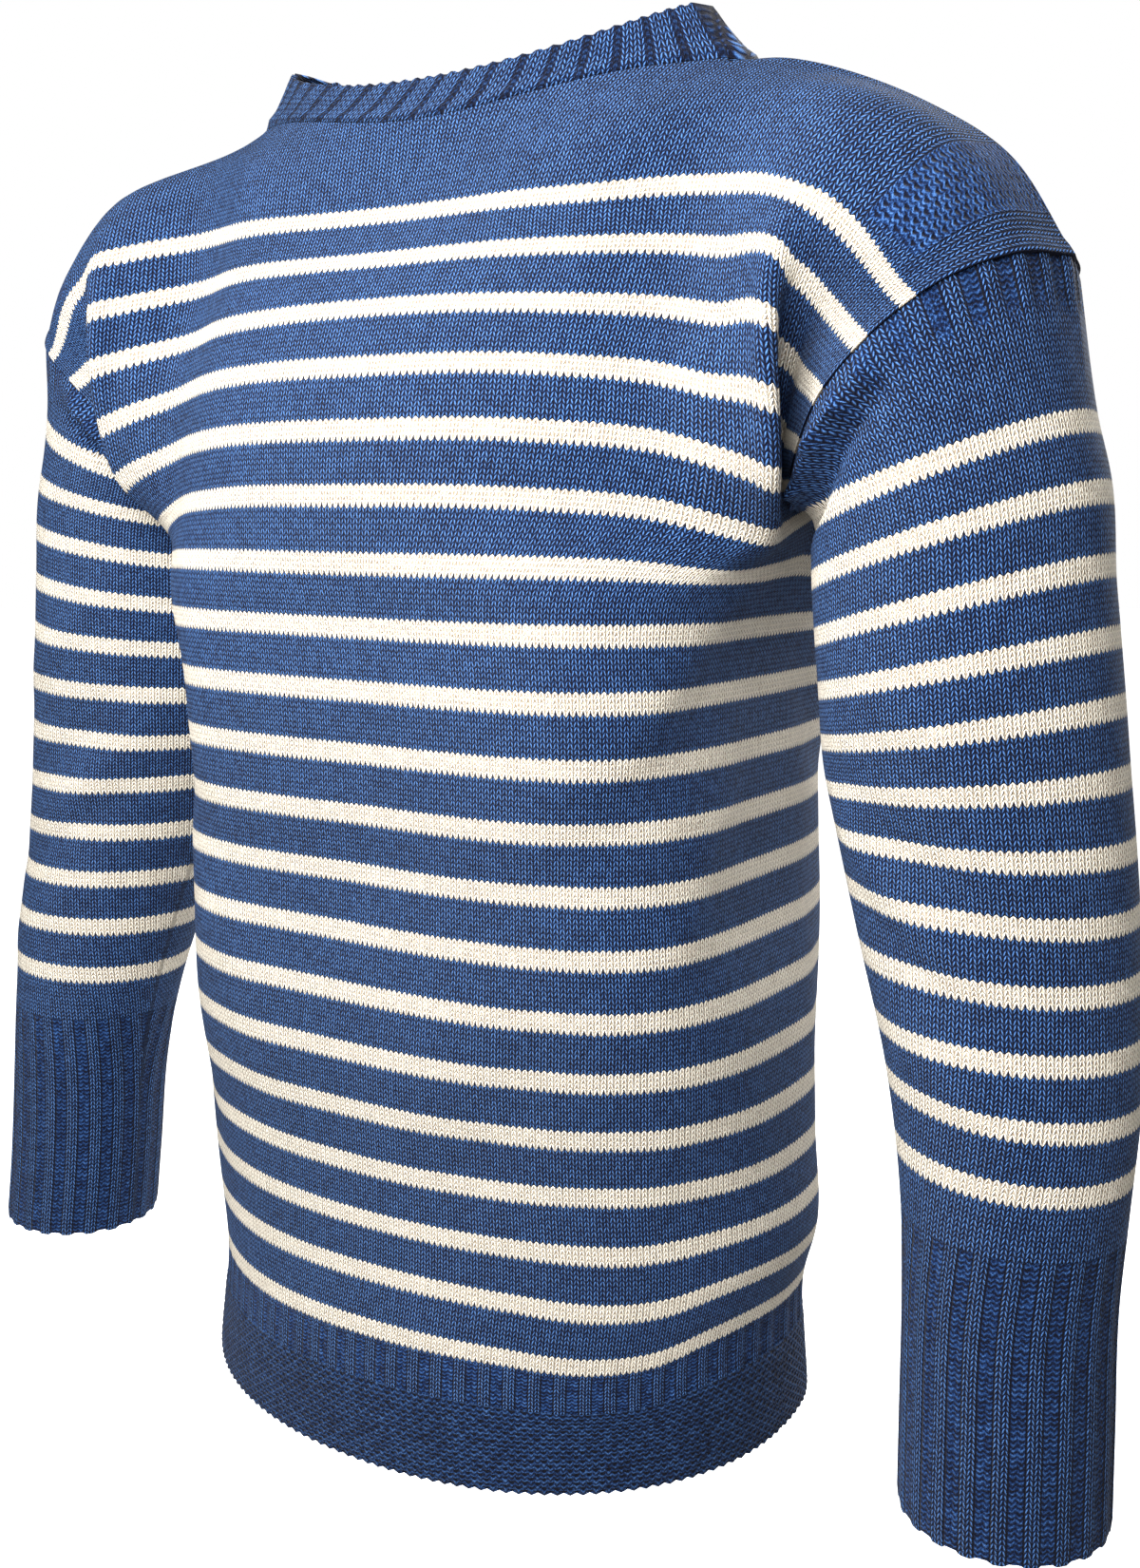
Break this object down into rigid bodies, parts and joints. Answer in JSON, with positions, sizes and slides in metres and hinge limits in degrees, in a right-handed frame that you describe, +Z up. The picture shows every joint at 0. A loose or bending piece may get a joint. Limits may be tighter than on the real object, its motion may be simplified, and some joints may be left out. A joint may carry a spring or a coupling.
{
  "type": "knitted sweater",
  "caption": "Striped drop-shoulder fisherman's sweater in its worn, hollow shape, with a boat neckband, ribbed cuffs and a textured welt.",
  "frame": {"origin": "middle of the neck opening, at the height of the wearer's shoulders beside the neck", "axes": "+X to the wearer's left, -Y out of the front, +Z up"},
  "size_m": [0.6562, 0.2699, 0.6479],
  "materials": {
    "striped_knit": "matt stocking stitch in heather blue wool with cream stripes",
    "blue_knit": "matt ribbed or garter knitted wool in heather blue"
  },
  "bodies": {
    "root": {"front_panel": "striped_knit", "back_panel": "striped_knit", "front_welt": "blue_knit", "back_welt": "blue_knit", "sleeve_left": "striped_knit", "sleeve_right": "striped_knit", "cuff_left": "blue_knit", "cuff_right": "blue_knit", "neckband": "blue_knit"}
  },
  "joints": []
}
